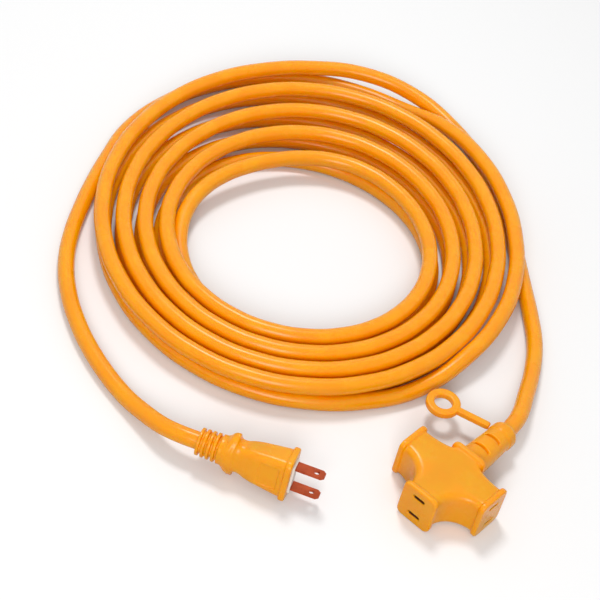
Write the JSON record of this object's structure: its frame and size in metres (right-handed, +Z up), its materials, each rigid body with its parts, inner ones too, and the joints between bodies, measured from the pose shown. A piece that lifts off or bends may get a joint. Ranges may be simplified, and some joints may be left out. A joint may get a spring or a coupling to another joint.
{
  "type": "extension cord",
  "caption": "Orange rubber extension cord wound in a coil, with a two-blade plug and a cross-shaped tap with a hanging ring.",
  "frame": {"origin": "middle of the tap's flat underside, on the surface that the cord lies on", "axes": "+Z up, +Y from the tap along its neck, -Y out of the front outlet, +X and -X out of the side outlets"},
  "size_m": [0.3457, 0.3349, 0.0271],
  "materials": {
    "orange_rubber": "satin",
    "white_insert": "satin",
    "blade_metal": "satin",
    "black_insulation": "satin",
    "white_insulation": "satin",
    "copper_wire": "bright",
    "carrier_plastic": "matte",
    "bus_brass": "satin",
    "contact_bronze": "satin"
  },
  "bodies": {
    "cord_set": {"plug_body": "orange_rubber", "plug_insert": "white_insert", "plug_blade_live": "blade_metal", "plug_blade_neutral": "blade_metal", "plug_sheath_end": "orange_rubber", "plug_core_live": "black_insulation", "plug_core_neutral": "white_insulation", "plug_copper": "copper_wire", "cord_plug_lead": "orange_rubber", "cord_coil": "orange_rubber", "cord_tap_lead": "orange_rubber", "tap_body": "orange_rubber", "tap_carrier_base": "carrier_plastic", "tap_carrier_divider": "carrier_plastic", "tap_carrier_cover": "carrier_plastic", "tap_bus_live": "bus_brass", "tap_bus_neutral": "bus_brass", "contact_front_live": "contact_bronze", "contact_front_neutral": "contact_bronze", "contact_left_live": "contact_bronze", "contact_left_neutral": "contact_bronze", "contact_right_live": "contact_bronze", "contact_right_neutral": "contact_bronze", "tap_sheath_end": "orange_rubber", "tap_core_live": "black_insulation", "tap_core_neutral": "white_insulation", "tap_copper": "copper_wire"},
    "hanging_ring": {"hanging_ring": "orange_rubber"}
  },
  "joints": [
    {"name": "ring_strap_bend", "type": "hinge", "parent": "cord_set", "child": "hanging_ring", "pos_m": [-0.01001, 0.046, 0.012], "axis": [-0.2588, 0.9659, 0], "range_deg": [-15, 75], "stiffness_Nm_per_rad": 0.01}
  ]
}
